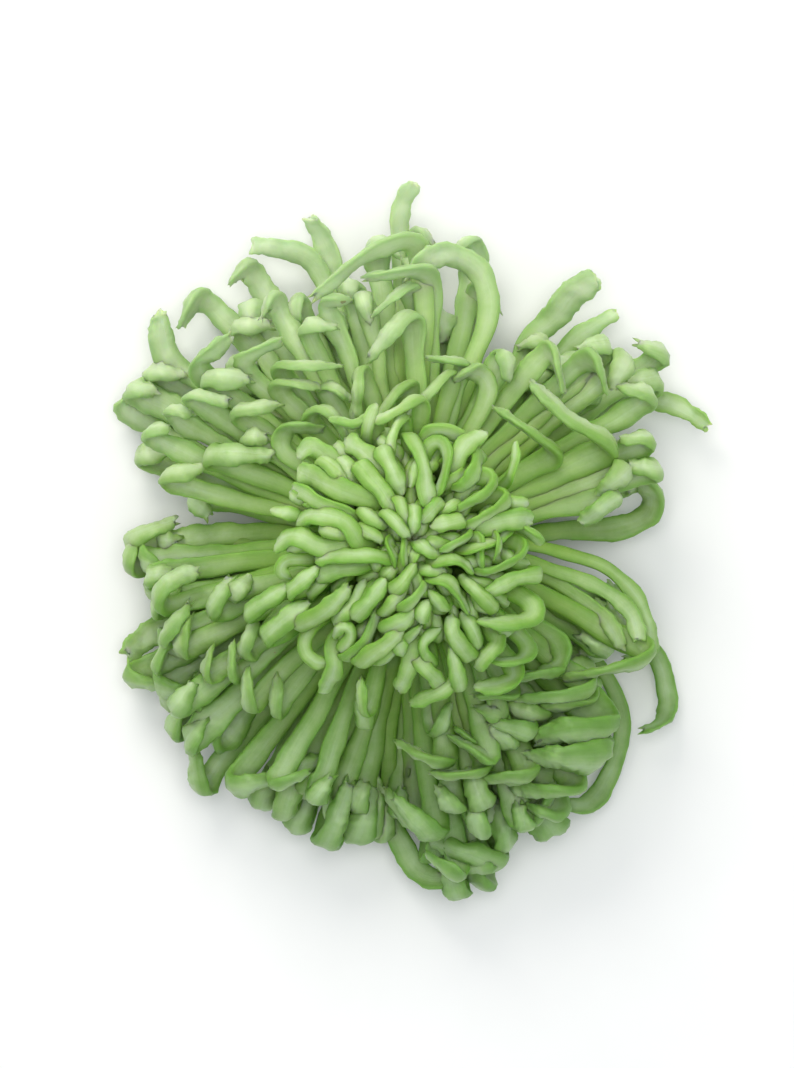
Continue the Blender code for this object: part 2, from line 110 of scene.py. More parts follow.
# Outer florets of the middle whorls, in the same form
MIDDLE_WHORL = (
    (85, 4.2, (89, 50), (97, 48.5), (112, 43.5)), (70, 4.4, (71, 40), (77, 47), (85, 48), (91, 44)),
    (82, 3.8, (87, 45), (100, 44)), (84, 3.6, (90, 42), (100.5, 38)), (83, 4.4, (91, 37.5), (103, 31)),
    (121, 4.2, (120, 46.5), (124, 44.5)), (146, 4.4, (141, 46), (132, 45)),
    (143, 4.4, (142, 43.5), (135, 38)), (134, 4.0, (134, 41), (123.5, 39.5)),
    (128, 4.0, (128, 36.5), (112, 31)), (117, 3.8, (117, 40), (109.5, 37.5)),
    (100, 3.5, (101.5, 42), (101, 37)), (108, 3.8, (110, 42), (105, 41)),
    (131, 3.8, (131, 34), (119.5, 29.5)), (119, 3.6, (119.5, 29.5), (113.5, 25.5)),
    (106, 3.8, (107, 29.5), (116, 21.5)), (92, 4.6, (92.5, 25.5), (114, 19)),
    (144, 3.8, (144, 36), (134.5, 31.5)), (148, 4.2, (148, 32.5), (144.5, 29.5)),
    (157, 4.5, (157.5, 37), (149, 27)), (146, 3.4, (145, 26.5), (138.5, 28), (129, 23.5)),
    (132, 3.4, (130, 27), (122, 25.5), (124.5, 17.5)), (168, 4.0, (166, 42.5), (160, 36.5)),
    (162, 4.2, (158, 47.5), (155, 44.5)), (155, 4.0, (152, 46), (150, 42)),
    (148, 4.0, (147, 44.5), (143, 38)), (194, 4.6, (195.5, 43), (190, 42), (188, 36)),
    (198, 4.0, (200, 35.5), (192, 30.5)), (196, 3.6, (197.5, 31.5), (192.5, 27.5)),
    (205, 3.8, (205.5, 28), (200, 21.5)), (214, 4.2, (215, 29), (206.5, 19.5)),
    (213, 3.8, (214, 34), (205.5, 28)), (213, 4.0, (213.5, 41), (208, 37.5)),
    (217, 3.8, (218, 37), (210, 34)), (225, 4.0, (226, 39), (218, 34.5)),
    (231, 4.0, (231.5, 36.5), (225.5, 32)), (200, 4.4, (202, 44.5), (196, 38.5)),
    (204, 4.2, (206, 43), (199, 39)), (214, 4.6, (216, 49), (213, 43.5)),
    (254, 3.4, (256, 32), (249.5, 24.5)), (241, 4.4, (241, 46.5), (246, 42)),
    (249, 4.2, (249, 46.5), (251, 41.5)), (281.5, 4.2, (278.5, 38), (266.5, 33.5)),
    (292, 4.0, (288, 40), (274.5, 38.5)), (292.5, 4.2, (289.5, 38), (281.5, 33)),
    (276, 3.2, (277, 32.5), (283, 28)), (292, 3.8, (290.5, 36.5), (283, 31.8)),
    (297, 4.6, (295.5, 44.5), (288, 40.5)), (297, 4.0, (296, 38), (292, 33)),
    (272, 4.4, (275, 50), (266, 43)), (278, 4.4, (279, 45.5), (276, 41.5)),
    (284, 4.2, (284, 46), (284.5, 39)), (283, 4.4, (283, 51), (284, 44)),
    (292, 4.6, (291.5, 52), (292, 47.5)), (318, 7.4, (316.5, 45.5), (303, 37.5)),
    (312, 7.8, (311, 48), (298, 40.5)), (303, 5.6, (304, 49.5), (293.5, 45)),
    (296, 4.7, (296.5, 43.5), (287.5, 41)), (338, 4.6, (334, 44.5), (317.5, 34)),
    (320, 4.6, (319, 39), (302, 31)), (326, 4.0, (325, 31), (318, 32), (306.5, 28)),
    (302, 4.0, (303, 30), (292.5, 27.5)), (318, 4.0, (319, 39.5), (306.5, 35.5)),
    (303, 4.0, (303, 38), (293.5, 33)), (297, 3.6, (297, 32), (291, 29.5)),
    (305, 4.0, (306, 36.5), (299.5, 31.5)), (358, 3.2, (352, 33), (343, 40.5), (335, 43.5), (331, 42)),
    (350, 3.2, (347, 30), (342, 38), (336, 41)), (345, 3.2, (344, 26), (338, 34), (333, 39)),
    (12, 4.2, (12.5, 35), (6, 28)), (18, 4.2, (18.5, 37.5), (14, 31.5)),
    (22, 4.4, (23, 43), (26, 38.5)), (16, 4.2, (16, 42.5), (19, 38)), (50, 4.2, (46, 43), (37.5, 40.5)),
    (64, 4.4, (64, 34.5), (59, 31)), (58, 4.2, (54, 39), (44.5, 35)),
    (23, 5.6, (25, 36.5), (33, 33.5), (43, 32), (52, 32.5)), (31, 4.4, (31, 28), (44, 26), (58, 25.5)),
    (40, 4.6, (40.5, 47), (37.5, 42)), (44, 4.4, (44.5, 46), (49, 42)),
    (31, 4.4, (31, 46.5), (36.5, 43)), (60, 3.6, (63, 28.5), (70, 30), (75, 27.5)),
    (73, 3.5, (73, 30.5), (85, 30)), (76, 3.3, (77, 28.5), (93, 20)),
)

# Central florets: width, then x and y along the finger seen from above, from where it shows to its tip
CENTRAL_FLORETS = (
    (3.0, (-12.3, 11.6), (-16, 15.3), (-18.3, 13.5)), (2.4, (-9, 9.6), (-10, 12), (-12.3, 12.8)),
    (3.0, (-5.7, 10.8), (-8, 14), (-10.8, 16.2)), (3.2, (-9, 12.6), (-4.5, 7.5), (-3, 4.7)),
    (3.0, (-5, 15), (-3, 11), (-2, 7.2)), (1.9, (-1.2, 20.4), (-3.5, 16.5), (-3.8, 12.6)),
    (3.6, (-7, 6.8), (-14, 9.5), (-18.3, 11.4)), (2.5, (-9.2, 3.8), (-14, 5.5), (-19.4, 8.3)),
    (3.0, (-8.7, -1), (-11, 2.8), (-15.5, 4), (-18.6, 3)), (3.2, (-10.5, -1), (-19, 0.2), (-22, -1.2)),
    (2.6, (-8.4, 5), (-4.2, 2.2)), (2.8, (-4.5, -2.6), (-10, -2.5), (-15.4, -3)),
    (2.7, (-7.2, -4), (-12, -4.7), (-15.4, -6)), (2.5, (2.2, 17), (5, 18), (8.8, 16)),
    (2.8, (6.8, 11.2), (8, 15), (11.7, 17.2)), (3.6, (9.6, 14.4), (10.5, 11.6), (9, 9), (6.2, 8.6)),
    (2.5, (2.5, 15.5), (5, 16), (5.8, 12), (3.8, 7)), (3.0, (-0.5, 17.5), (1.5, 12), (2.8, 5)),
    (2.0, (1.2, 13), (0.5, 11.5), (-0.3, 8.6)), (3.0, (10.3, 10.6), (13, 9.7), (11, 7), (7, 5.5)),
    (3.0, (13, 7.5), (15.8, 6.5), (12, 4), (8.8, 2)), (3.0, (10.6, 2.2), (15, 3.2), (19.2, 3)),
    (2.7, (8.4, 3.4), (3, 2.2)), (2.4, (7.4, 5.8), (4.3, 4.7)), (1.9, (9.4, 1), (4.5, -1.7)),
    (2.5, (6, -0.4), (1.4, -0.9)), (2.1, (10.7, 1), (11, -4.2)),
    (1.7, (13.3, 0.8), (14, -1), (13, -3.2)), (2.8, (18, -1), (17, -2.7), (14, -4.5), (9.8, -5)),
    (2.8, (21, -5.6), (17, -6), (11.8, -8.6)), (2.6, (13.5, -11.5), (10, -8), (7.8, -5.6)),
    (2.3, (3, -6), (6, -6.8), (9, -11.7)), (2.2, (4, -3.8), (7, -3), (9.7, -5.2)),
    (2.0, (1.6, -5), (5.4, -5)), (3.4, (19, -9.8), (19.7, -12.5), (15, -13.7), (10.6, -13)),
    (3.0, (9.8, -19.4), (6.7, -15.5), (6, -12.3)), (2.6, (10.2, -17.6), (10, -15), (7.9, -11.8)),
    (2.0, (3.4, -21), (1.3, -18), (2, -16), (4.5, -14.2)), (2.8, (14, -16), (10.4, -20.8)),
    (2.8, (19.4, -17.6), (16, -20), (12.6, -19.4)), (2.6, (7.7, -24.4), (6.2, -17.3)),
    (2.3, (7.4, -22.2), (5, -24.5), (-0.3, -26.6)), (2.6, (0.8, -18.2), (4.7, -23.8)),
    (2.8, (0.7, -18), (-2.2, -24.4)), (2.8, (-20, -8.6), (-15.3, -4.5)),
    (3.2, (-27.5, -12.4), (-23.5, -9.6), (-20, -7.5)),
    (3.5, (-24.5, -16.2), (-20.5, -13), (-16.8, -10.1)),
    (3.2, (-19.4, -14), (-14, -11.5), (-10.3, -7.3)),
    (2.8, (-12.5, -14.1), (-9.7, -10.8), (-7.7, -6.6)), (2.8, (-9.9, -13), (-7.1, -10), (-4.4, -6.2)),
    (2.6, (-4.9, -12), (-3.2, -9.8), (-1.3, -6.7)), (2.5, (-2.8, -8.5), (-1.3, -6.4), (0.5, -3.8)),
    (2.3, (-4.6, -6), (-2.2, -4)), (2.6, (-1.4, -11.5), (0.4, -9.4), (2.3, -6.7)),
    (2.8, (-11.2, -19.3), (-8, -17.5), (-5.2, -11.3)),
    (3.0, (-9.4, -19.9), (-5.6, -17.6), (-1.3, -13.8)), (3.0, (-4.5, -15), (-1.8, -13.3), (1.3, -10.8)),
    (2.8, (-6, -20), (-2.6, -17.4), (1.3, -13.8)),
    (2.1, (-11.8, -18.4), (-9.5, -14.5), (-10.8, -13), (-12.7, -15.7)),
    (2.2, (-18.2, -3), (-20.4, -3), (-21.5, -5), (-19.7, -6.2)),
    (2.2, (-16.8, -14.6), (-17.7, -18), (-15, -20.2), (-12.8, -19.4)),
    (2.8, (-13, -17.3), (-12.3, -19.5), (-14.7, -24.8)), (3.0, (-7.8, -28.5), (-8.5, -22.7)),
    (3.0, (-7, 20), (-9, 18.6), (-13, 19.6)), (2.8, (1.5, 23), (-1.5, 21.4), (-6, 19)),
    (3.2, (17, -22), (14, -23.8), (10.2, -24)), (2.0, (-4, -0.6), (-3, -3.9)),
    (2.0, (-1.4, -0.4), (-1.5, -3.7)), (2.0, (1, -1), (-0.6, -3.6)), (2.3, (-8.6, 2.2), (-4.6, -0.4)),
    (2.3, (-4.4, 5), (-0.8, 0.6)), (2.2, (0.4, 5.4), (0.1, 1.2)), (2.2, (-2.6, 6.8), (-0.8, 2.8)),
    (2.3, (4.6, 6.4), (1.4, 3)), (2.4, (-14.5, 1.4), (-9.4, 1.2)), (2.4, (-14.6, 13.2), (-10.6, 9.8)),
    (2.6, (5.2, -11.2), (2.6, -8.2)), (2.4, (0.5, -12.5), (2.6, -9.8)),
)

# Rows of scales up the cup: how many, the height of their tips, their length and their width
BRACT_ROWS = ((9, 13.0, 3.2, 3.9), (11, 14.8, 4.4, 4.2), (13, 16.3, 5.4, 4.2))
BRACT_STEPS = 10
BRACT_COLUMNS = 8
BRACT_LIFT = 0.25
BRACT_LEAN = 0.45
BRACT_KEEL = 0.28
BRACT_WAVE = 0.1
BRACT_THICKNESS = 0.55
NARROWEST_BRACT = 0.06

# Lower florets that fill the fans between the ones above, and the open gaps that they leave
UNDER_STEP = 3.7
SPARSE_SIDE = 170
SPARSE_STEP = 1.8
STEP_SPREAD = (0.8, 1.2)
SPARSE_REACH = (0.72, 0.92)
FULL_REACH = (0.86, 0.96)
UNDER_LEAN = 5
UNDER_HOOKS = (3, 6)
UNDER_WIDTHS = (4.2, 5.4)
OPEN_GAPS = (
    (30, 36), (61, 73), (137, 140), (152, 154.5), (170.5, 179), (227, 230.5), (234.5, 240),
    (247, 253), (261.5, 267), (344, 369),
)

# Short fingers between the central florets, spread by the golden angle
INNER_FINGERS = 104
GOLDEN_ANGLE = 137.508
FINGER_WIDTHS = (2.0, 2.8)
FINGER_CENTRE = 2.4
FINGER_SPREAD = 17.0
FINGER_SPREADING = 0.6
FINGER_DROP = 1.8
FINGER_SCATTER = (-1.4, 1.0)
FINGER_LEAN = 40
LEAN_FADE = 0.12
INWARD_FINGERS = 0.7
INWARD_SPANS = (4.5, 7.0)
OUTWARD_SPANS = (4.0, 6.0)
EYE_CLEARANCE = 0.4
FINGER_ROOT_RADIUS = 5.5

# Knots over a finger's root: share of the lean, share of the span, and depth below the finger's top
FINGER_KNOTS = ((0, 0, 3.2), (0.2, 0.3, 0.3), (0.6, 0.7, 0.0), (1, 1, 1.8))

# Heights of the shafts at their bends, by whorl
LOW_HEIGHTS = (2.5, 8.0)
UNDER_HEIGHTS = (6.0, 13.0)
MIDDLE_HEIGHT = 21.0
MIDDLE_SLOPE = 0.32
MIDDLE_REACH = 30.0
MIDDLE_SCATTER = 1.2
CENTRAL_SCATTER = 1.0
CENTRAL_WIDENING = 1.12

# Path of an outer floret: its root in the core, the arch of its shaft, its bend and the rise of its hook
ROOT_SINK = 2.2
OUTER_ROOT_LIFT = 2.1
ARCH_REACH = 0.42
ARCH_WEIGHTS = (0.72, 0.28)
ARCH_LIFT = 1.5
BEND_WEIGHTS = (0.3, 0.7)
BEND_REACH = 0.84
BEND_LIFT = 0.6
HOOK_HEIGHT = 2.6
HOOK_GROWTH = 0.42
HIGHEST_HOOK = 7.0
TURN_RISE = 0.35
TIP_RISE = 0.62
CREST_WEIGHTS = (0.6, 0.4)
EARLY_LIFT = 0.4
STRAIGHT_LIFT = 0.8
STRAIGHT_TIP_LIFT = 2.4

# Path of a central floret: its root in the core, and its drops below the mound
CENTRAL_ROOT_LIFT = 3.4
CENTRAL_ROOT_RADIUS = 6.0
CENTRAL_ROOT_SHARE = 0.5
RISING_SHARE = 0.66
RISING_WEIGHTS = (0.3, 0.7)
RISING_DROP = 2.0
START_DROP = 1.8
TIP_DROP = 1.6

# Points along a path, before and while it is made into a floret, and sides of a floret
PATH_POINTS = 28
FINE_PATH_POINTS = 4 * PATH_POINTS
SPAN_STEPS = 14
SIDES = 18

# How the two kinds of floret are shaped: widths are shares of the full width, places shares of the length
OUTER = SimpleNamespace(
    stations=58, root_width=0.62, width_growth=0.26, swell_start=None, swell_length=0.36, hook_taper=0.3,
    blunting=0.6, flatness=(0.4, 0.54), curl=(0.1, 0.34), flutter=(0.06, 0.28), looseness=1.6,
    raggedness=2.6, wander=0.7,
)
CENTRAL = SimpleNamespace(
    stations=40, root_width=0.5, width_growth=0.3, swell_start=0.2, swell_length=0.5, hook_taper=0.16,
    blunting=0.8, flatness=(0.42, 0.56), curl=(0.08, 0.34), flutter=(0.05, 0.22), looseness=1,
    raggedness=1, wander=0.35,
)
KINDS = {"low": OUTER, "under": OUTER, "middle": OUTER, "central": CENTRAL, "inner": CENTRAL}

# Stations crowd toward the tip, and the free end sways, frays and crumples
STATION_CROWDING = 1.4
WANDER_BEATS = (1.5, 3.7)
TIP_START = 0.9
TIP_LENGTH = 0.1
LOOSE_START = 0.5
LOOSE_LENGTH = 0.3
SWELLINGS = 3
SWELLING_BEATS = (3, 14)
SWELLING_SIZES = (0.01, 0.04)
FLUTTER_BEATS = (2, 5)
ROOT_ROUNDNESS = 0.25
OPENING_RATE = 1.6
CURL_BALANCE = 0.35
FURROW_DEPTHS = (0.1, 0.4)
FURROW_SHIFT = 0.5
FURROW_WIDTH = 0.42
ROOT_ROLL = 0.3
TIP_ROLL = 0.35
BITES = (0.04, 0.17)
FINE_FRAY = 0.6
CRUMPLE_START = 0.55
CRUMPLE_LENGTH = 0.45
CRUMPLE_ON_SHAFT = 0.02
CRUMPLE_AT_TIP = 0.14
CRUMPLE_POWER = 1.2
COARSE_DENTS = 0.42
FINE_DENTS = 1.15
FINE_DENT_SHARE = 0.7
DENT_SHIFTS = (91.0, 17.0, 0.0)
DENT_SOFTENING = 0.3

# The rounded end of a floret: share of the lip's size, distance past the lip, and the mark along the length
TIP_RINGS = ((0.8, 0.12, 1.02), (0.5, 0.05, 1.06), (0.2, -0.1, 1.1))

# Settling: the share of the half width that florets keep clear, and how fast and which way they move apart
SETTLE_ROUNDS = 60
NEW_PAIRS_EVERY = 12
CLEAR_SHARE = 0.62
SIDEWAYS_SHARE = 0.3
LAYER_PUSH = 0.35
SETTLE_SPEED = 0.3
LONGEST_MOVE = 0.5
FLOOR_SHARE = 0.55
FLOOR_CLEARANCE = 0.1
SOON_TOUCHING = 1.5
PAIR_BLOCK = 512
FIXED_ROOT = 0.2
ROOT_FADE = 0.3
LOWEST_POINT = 0.02

# Linear colours of a floret at its root, shaft, hook and tip, and the places of these along its length; the
# deeper green toward the root is partly the floret's own colour and partly painted shade where the shafts
# crowd together
COLOUR_PLACES = (0.0, 0.42, 0.78, 1.0)
OUTER_COLOURS = ((0.23, 0.42, 0.035), (0.28, 0.46, 0.08), (0.36, 0.52, 0.18), (0.47, 0.60, 0.31))
CENTRAL_COLOURS = ((0.15, 0.32, 0.03), (0.25, 0.45, 0.065), (0.34, 0.53, 0.125), (0.43, 0.61, 0.22))

# Tints that multiply a floret's colour: how strongly, then the stops of the ramp
VEIN_TINTS = (0.45, (0.3, (0.74, 0.82, 0.62)), (0.7, (1.0, 1.0, 1.0)))
PATCH_TINTS = (0.8, (0.35, (0.78, 0.88, 0.64)), (0.65, (1.08, 1.04, 1.10)))
# Painted shade on the sides of each floret and a painted highlight along its middle
EDGE_SHADE_TINTS = (1.0, (0.3, (1.06, 1.04, 1.06)), (0.95, (0.68, 0.82, 0.54)))
OWN_TINTS = (0.8, (0.0, (0.84, 0.92, 0.70)), (0.5, (1.0, 1.0, 1.0)), (1.0, (1.0, 0.96, 0.90)))
# Painted light and shade: paler toward the top of the bloom's face, darker toward the bottom
PAINTED_FACE_LIGHT_TINTS = (1.0, (0.0, (0.60, 0.71, 0.57)), (0.95, (1.04, 1.02, 1.06)))

# Noise on a floret: scale, detail and roughness
VEINS = (7.0, 5.0, 0.6)
BROAD_CLOUDS = (1.6, 3.0, 0.6)
PATCHES = (300.0, 5.0, 0.6)
GRAIN = (900.0, 3.0)
SPOTS = (260.0, 2.0)

# Bumps, strength and depth in metres, and the light that passes through a skin: weight, radii and scale
GRAIN_BUMP = (0.15, 0.0001)
VEIN_BUMP = (0.22, 0.0003)
PETAL_SCATTER = (0.7, (0.7, 1.0, 0.3), 0.0018)
LEAF_SCATTER = (0.1, (0.6, 1.0, 0.3), 0.001)
SPOT_LEVEL = 0.84
SPOT_STRENGTH = 0.6

# Greens of painted light: a glow near the roots, paleness on the upper florets and a highlight on the
# crests of the hooks; and the brown of rare spots
PAINTED_GLOW_GREEN = (0.46, 0.68, 0.20)
PAINTED_LIGHT_GREEN = (0.58, 0.69, 0.51)
MILKY_HIGHLIGHT_GREEN = (0.56, 0.68, 0.43)
SPOT_BROWN = (0.23, 0.15, 0.05)

LEAF_GREENS = ((0.10, 0.19, 0.05), (0.20, 0.33, 0.10))
STALK_GREENS = ((0.17, 0.27, 0.08), (0.32, 0.42, 0.17))
FLOOR_GREYS = ((0.86, 0.86, 0.86), (0.88, 0.88, 0.88))

# Camera, straight above the eye of the bloom, with the frame and the eye's place in it in pixels
CAMERA_HEIGHT = 700.0
SHARP_PLANE = 15.0
FRAME_HEIGHT = 178.0
FRAME_PIXELS = (794, 1068)
EYE_PIXEL = (412, 540)
SENSOR = 36.0

# Soft round lights: place and size in metres, power in watts, and colour
LIGHTS = (
    ("key", (-0.18, 0.5, 0.42), 0.35, 2.1, (1.0, 0.97, 0.88)),
    ("overhead", (0.0, 0.04, 0.6), 0.4, 1.5, (1.0, 0.99, 0.96)),
    ("fill", (0.7, -0.5, 0.6), 0.8, 0.8, (0.85, 0.93, 1.0)),
)
SKY_COLOUR = (0.93, 0.97, 1.0, 1)
SKY_STRENGTH = 0.62
FLOOR_HALF = 2.0


def stalk_middle():
    low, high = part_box("stalk")
    return np.array((0.5 * (low.x + high.x), 0.5 * (low.y + high.y), 0.0))


OFFSET = stalk_middle()


def polar(azimuth, radius, height):
    turn = math.radians(azimuth)
    return np.array((radius * math.cos(turn), radius * math.sin(turn), height))


def ease(points):
    """Smooths a line of points, or of moves, between its ends, in place."""
    points[1:-1] = 0.25 * points[:-2] + 0.5 * points[1:-1] + 0.25 * points[2:]


def resampled(points, count):
    """The same line with its points at equal steps."""
    steps = np.linalg.norm(np.diff(points, axis=0), axis=1)
    length = np.concatenate(((0,), np.cumsum(steps)))
    wanted = np.linspace(0, length[-1], count)
    return np.stack([np.interp(wanted, length, points[:, k]) for k in range(3)], axis=1)


def smooth_path(knots, count):
    """A Catmull-Rom curve through the knots, eased and at equal steps."""
    knots = np.array(knots)
    ends = np.vstack((2 * knots[0] - knots[1], knots, 2 * knots[-1] - knots[-2]))
    points = []
    for span in range(len(knots) - 1):
        a, b, c, d = ends[span:span + 4]
        for t in np.linspace(0, 1, SPAN_STEPS, endpoint=False):
            square = (2 * a - 5 * b + 4 * c - d) * t**2
            cube = (3 * b - a - 3 * c + d) * t**3
            points.append(0.5 * (2 * b + (c - a) * t + square + cube))
    points.append(knots[-1])
    points = np.array(points)
    for _ in range(6):
        ease(points)
    return resampled(points, count)


def outer_knots(row, height):
    """Knots from the receptacle out along the shaft, round the bend and over the hook to the tip."""
    shaft, plan = row[0], row[2:]
    radii = [point[1] for point in plan]
    reach = max(radii)
    far_end = radii.index(reach)
    root_height = OUTER_CORE_BOTTOM + OUTER_ROOT_LIFT
    first_azimuth, first_radius = plan[0]
    bend = polar(*plan[far_end], 0)
    span = np.linalg.norm(polar(*plan[-1], 0) - bend)
    hook = min(HIGHEST_HOOK, HOOK_HEIGHT + HOOK_GROWTH * span)
    arch_height = ARCH_WEIGHTS[0] * root_height + ARCH_WEIGHTS[1] * height + ARCH_LIFT
    bend_azimuth = BEND_WEIGHTS[0] * shaft + BEND_WEIGHTS[1] * first_azimuth
    knots = [
        polar(shaft, OUTER_CORE_RADIUS - ROOT_SINK, root_height),
        polar(shaft, ARCH_REACH * reach, arch_height),
        polar(bend_azimuth, BEND_REACH * min(first_radius, reach), height + BEND_LIFT),
    ]
    if far_end == len(plan) - 1:
        for azimuth, radius in plan[:-1]:
            knots.append(polar(azimuth, radius, height + STRAIGHT_LIFT))
        knots.append(polar(*plan[-1], height + STRAIGHT_TIP_LIFT))
        return knots
    for azimuth, radius in plan[:far_end]:
        knots.append(polar(azimuth, radius, height + EARLY_LIFT))
    knots.append(polar(*plan[far_end], height + TURN_RISE * hook))
    middle = plan[far_end + 1:-1]
    tip = polar(*plan[-1], height + TIP_RISE * hook)
    if middle:
        for azimuth, radius in middle:
            knots.append(polar(azimuth, radius, height + hook))
    else:
        crest = CREST_WEIGHTS[0] * bend + CREST_WEIGHTS[1] * tip
        crest[2] = height + hook
        knots.append(crest)
    knots.append(tip)
    return knots


def central_knots(row, lift):
    """Knots up out of the core, then along the finger seen from above."""
    plan = row[1:]
    start = np.array((*plan[0], 0.0))
    reach = max(np.linalg.norm(start), 0.1)
    tops = [MOUND_TOP + lift - MOUND_DROP * (x * x + y * y) for x, y in plan]
    root = start * min(CENTRAL_ROOT_SHARE, CENTRAL_ROOT_RADIUS / reach)
    root[2] = CENTRAL_CORE_BOTTOM + CENTRAL_ROOT_LIFT
    rising = start * RISING_SHARE
    rising[2] = RISING_WEIGHTS[0] * root[2] + RISING_WEIGHTS[1] * tops[0] - RISING_DROP
    start[2] = tops[0] - START_DROP
    knots = [root, rising, start]
    if len(plan) == 2:
        middle = 0.5 * (start + np.array((*plan[1], 0.0)))
        middle[2] = 0.5 * (tops[0] + tops[1])
        knots.append(middle)
    for (x, y), top in zip(plan[1:-1], tops[1:-1]):
        knots.append(np.array((x, y, top)))
    knots.append(np.array((*plan[-1], tops[-1] - TIP_DROP)))
    return knots


def finger_knots(number, draw):
    """A short finger up out of the central core, its tip bent over toward the eye or outward."""
    share = (number + 0.5) / INNER_FINGERS
    radius = FINGER_CENTRE + FINGER_SPREAD * share**FINGER_SPREADING
    azimuth = number * GOLDEN_ANGLE
    top = MOUND_TOP - FINGER_DROP - MOUND_DROP * radius * radius + draw.uniform(*FINGER_SCATTER)
    lean = draw.uniform(-FINGER_LEAN, FINGER_LEAN) / (1 + LEAN_FADE * radius)
    if draw.random() < INWARD_FINGERS:
        span = -min(radius - EYE_CLEARANCE, draw.uniform(*INWARD_SPANS))
    else:
        span = draw.uniform(*OUTWARD_SPANS)
    knots = [
        polar(azimuth, min(FINGER_ROOT_RADIUS, 0.5 * radius), CENTRAL_CORE_BOTTOM + CENTRAL_ROOT_LIFT),
        polar(azimuth, 0.75 * radius, top - 8.0),
    ]
    for turn, step, depth in FINGER_KNOTS:
        knots.append(polar(azimuth + turn * lean, radius + step * span, top - depth))
    return knots


def under_rows(draw):
    """Rows like those of the low whorl, one at each step where the bloom has no gap."""
    bends = sorted((row[2][0] % 360, row[2][1]) for row in LOW_WHORL)
    azimuths = [azimuth for azimuth, _ in bends]
    radii = [radius for _, radius in bends]
    rows = []
    azimuth = 0.0
    while azimuth < 360:
        azimuth += UNDER_STEP * draw.uniform(*STEP_SPREAD) * (SPARSE_STEP if azimuth < SPARSE_SIDE else 1.0)
        if any(low < azimuth % 360 + turn < high for low, high in OPEN_GAPS for turn in (0, 360)):
            continue
        rim = float(np.interp(azimuth % 360, azimuths, radii, period=360))
        reach = rim * draw.uniform(*(SPARSE_REACH if azimuth < SPARSE_SIDE else FULL_REACH))
        lean = draw.uniform(-UNDER_LEAN, UNDER_LEAN)
        hook = draw.uniform(*UNDER_HOOKS)
        width = draw.uniform(*UNDER_WIDTHS)
        rows.append((azimuth + 0.3 * lean, width, (azimuth, reach), (azimuth + 1.4 * lean, reach - hook)))
    return rows


def width_share(along, bend, kind):
    """Share of the full width along the length: narrower shaft, full hook, rounded tip."""
    shaft = kind.root_width + kind.width_growth * along
    start = bend - kind.swell_length if kind.swell_start is None else kind.swell_start
    rise = np.clip((along - start) / kind.swell_length, 0, 1)
    rise = rise * rise * (3 - 2 * rise)
    hook = np.clip((along - bend) / (1.0001 - bend), 0, 1)
    tip = np.clip((along - TIP_START) / TIP_LENGTH, 0, 1)
    return (shaft + (1 - shaft) * rise) * (1 - kind.hook_taper * hook) * np.sqrt(1 - kind.blunting * tip**2)


def bend_share(path, along):
    """Where along its length a floret is farthest out."""
    return float(along[np.argmax(np.hypot(path[:, 0], path[:, 1]))])


def near_pairs(points, owner, reach):
    """Pairs of points on different florets that are close enough to touch soon."""
    flat = (points - points.mean(axis=0)).astype(np.float32)
    squares = (flat**2).sum(axis=1)
    firsts, seconds = [], []
    for start in range(0, len(points), PAIR_BLOCK):
        block = slice(start, min(start + PAIR_BLOCK, len(points)))
        gap = squares[block, None] + squares[None] - 2 * flat[block] @ flat.T
        close = gap < (reach[block, None] + reach[None] + SOON_TOUCHING)**2
        close &= owner[block, None] < owner[None]
        i, j = np.nonzero(close)
        firsts.append(i + start)
        seconds.append(j)
    return np.concatenate(firsts), np.concatenate(seconds)


def settle(paths, half_widths, free):
    """Eases crossing florets apart, mostly upward and downward, so that they pass over each other."""
    florets, count, _ = paths.shape
    owner = np.repeat(np.arange(florets), count)
    reach = (CLEAR_SHARE * half_widths).reshape(-1)
    layer = np.repeat(paths[:, count // 2:, 2].mean(axis=1), count)
    for turn in range(SETTLE_ROUNDS):
        points = paths.reshape(-1, 3)
        if turn % NEW_PAIRS_EVERY == 0:
            first, second = near_pairs(points, owner, reach)
        apart = points[first] - points[second]
        distance = np.linalg.norm(apart, axis=1) + 1e-6
        overlap = reach[first] + reach[second] - distance
        touching = overlap > 0
        a, b = first[touching], second[touching]
        push = apart[touching] / distance[touching, None]
        push *= (SIDEWAYS_SHARE, SIDEWAYS_SHARE, 1.0)
        push[:, 2] += LAYER_PUSH * np.sign(layer[a] - layer[b])
        push /= np.linalg.norm(push, axis=1)[:, None] + 1e-6
        push *= SETTLE_SPEED * overlap[touching, None]
        move = np.zeros_like(points)
        np.add.at(move, a, push)
        np.add.at(move, b, -push)
        move = np.clip(move, -LONGEST_MOVE, LONGEST_MOVE).reshape(paths.shape)
        for _ in range(3):
            move[:, 1:-1] = 0.25 * move[:, :-2] + 0.5 * move[:, 1:-1] + 0.25 * move[:, 2:]
        paths = paths + move * free[None, :, None]
        paths[:, :, 2] = np.maximum(paths[:, :, 2], FLOOR_SHARE * half_widths + FLOOR_CLEARANCE)
    return paths


def wandering(path, reach, draw):
    """The path with a slow, small sideways wander that no grown thing lacks."""
    along = np.linspace(0, 1, len(path))
    fade = np.sin(math.pi * np.clip(along * 1.1, 0, 1))
    moved = path.copy()
    for axis in (0, 1):
        for beats in WANDER_BEATS:
            shift = draw.uniform(0, FULL_TURN)
            size = draw.uniform(-reach, reach) / beats
            moved[:, axis] += size * fade * np.sin(beats * 2 * math.pi * along + shift)
    return moved


